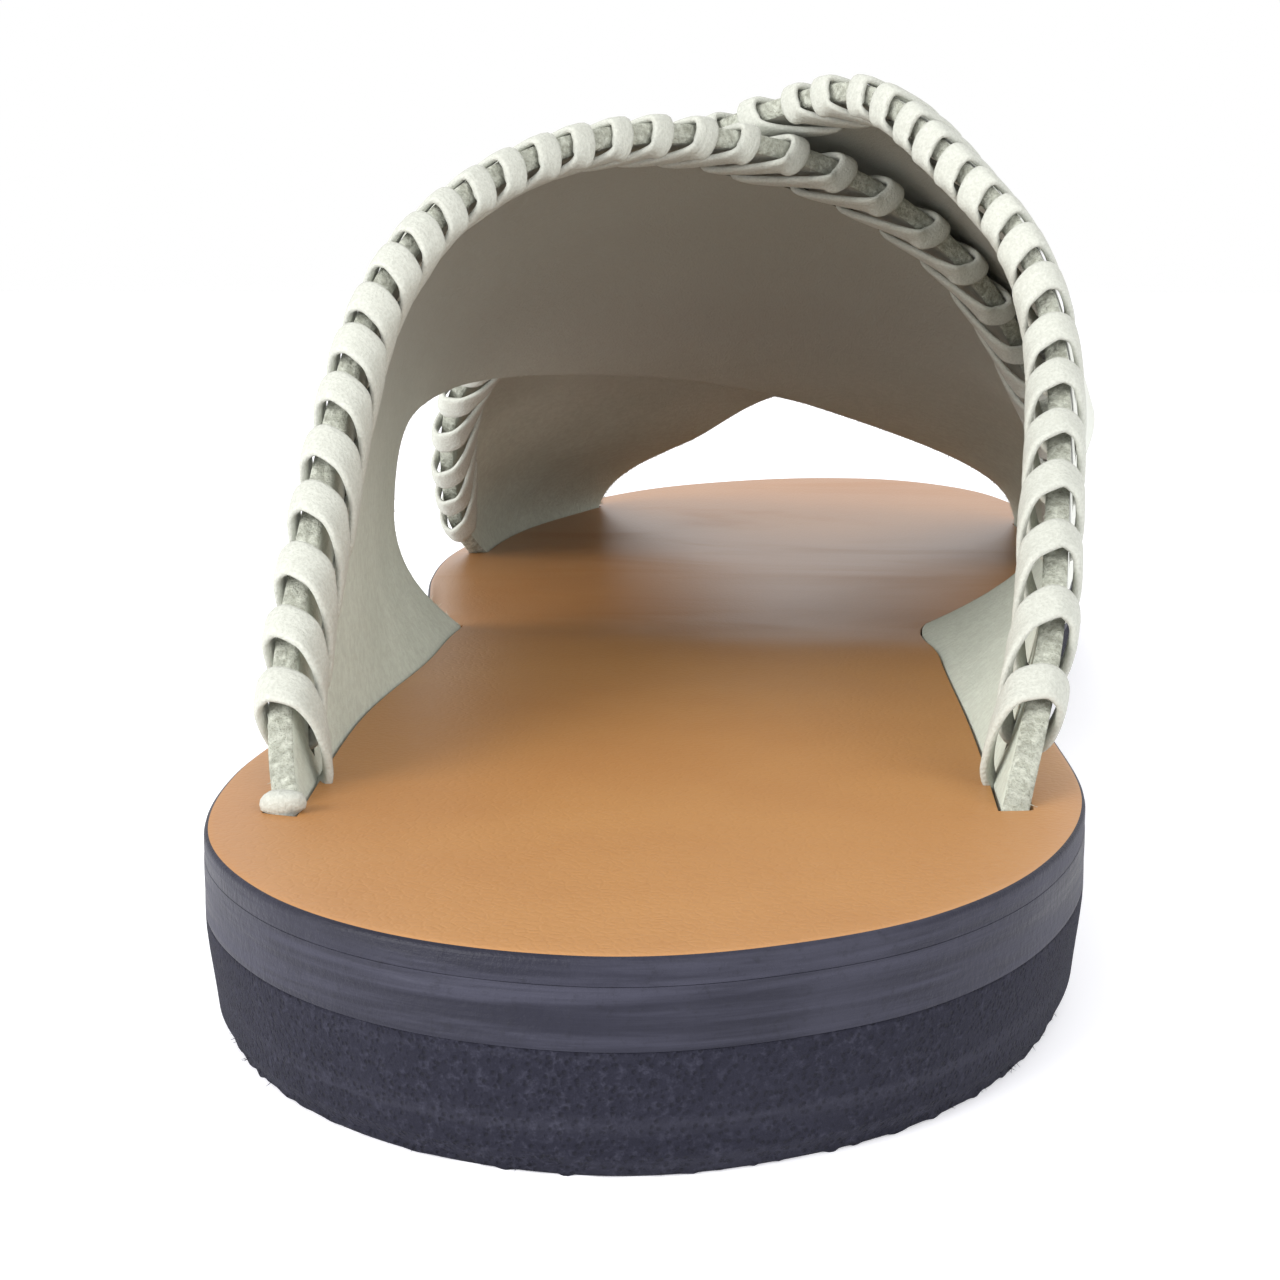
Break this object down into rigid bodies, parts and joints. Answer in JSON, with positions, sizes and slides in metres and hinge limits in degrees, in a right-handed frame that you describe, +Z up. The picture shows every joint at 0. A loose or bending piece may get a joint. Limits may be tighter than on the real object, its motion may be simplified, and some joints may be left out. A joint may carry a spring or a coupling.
{
  "type": "crossed-strap leather slide sandal",
  "caption": "Left slide sandal with a flat foam sole, a leather insole and two wide crossed leather straps whipped with flat lace along their rear edges",
  "frame": {"origin": "on the floor under the middle of the sandal's bounding box", "axes": "+Z up, +Y from the heel to the toe, +X towards the big toe's side of a left foot"},
  "size_m": [0.0904, 0.251, 0.074],
  "materials": {
    "outsole": "matt black crepe foam with fine pits",
    "midsole": "black, burnished smooth",
    "insole": "smooth tan vegetable-tanned leather with an inked edge",
    "upper": "off-white grain outside, grey-green suede inside",
    "lace": "soft off-white flat leather lace"
  },
  "bodies": {
    "root": {"outsole": "outsole", "midsole": "midsole", "insole": "insole", "upper": "upper", "lace_under": "lace", "lace_over": "lace", "lace_tip": "lace"}
  },
  "joints": []
}
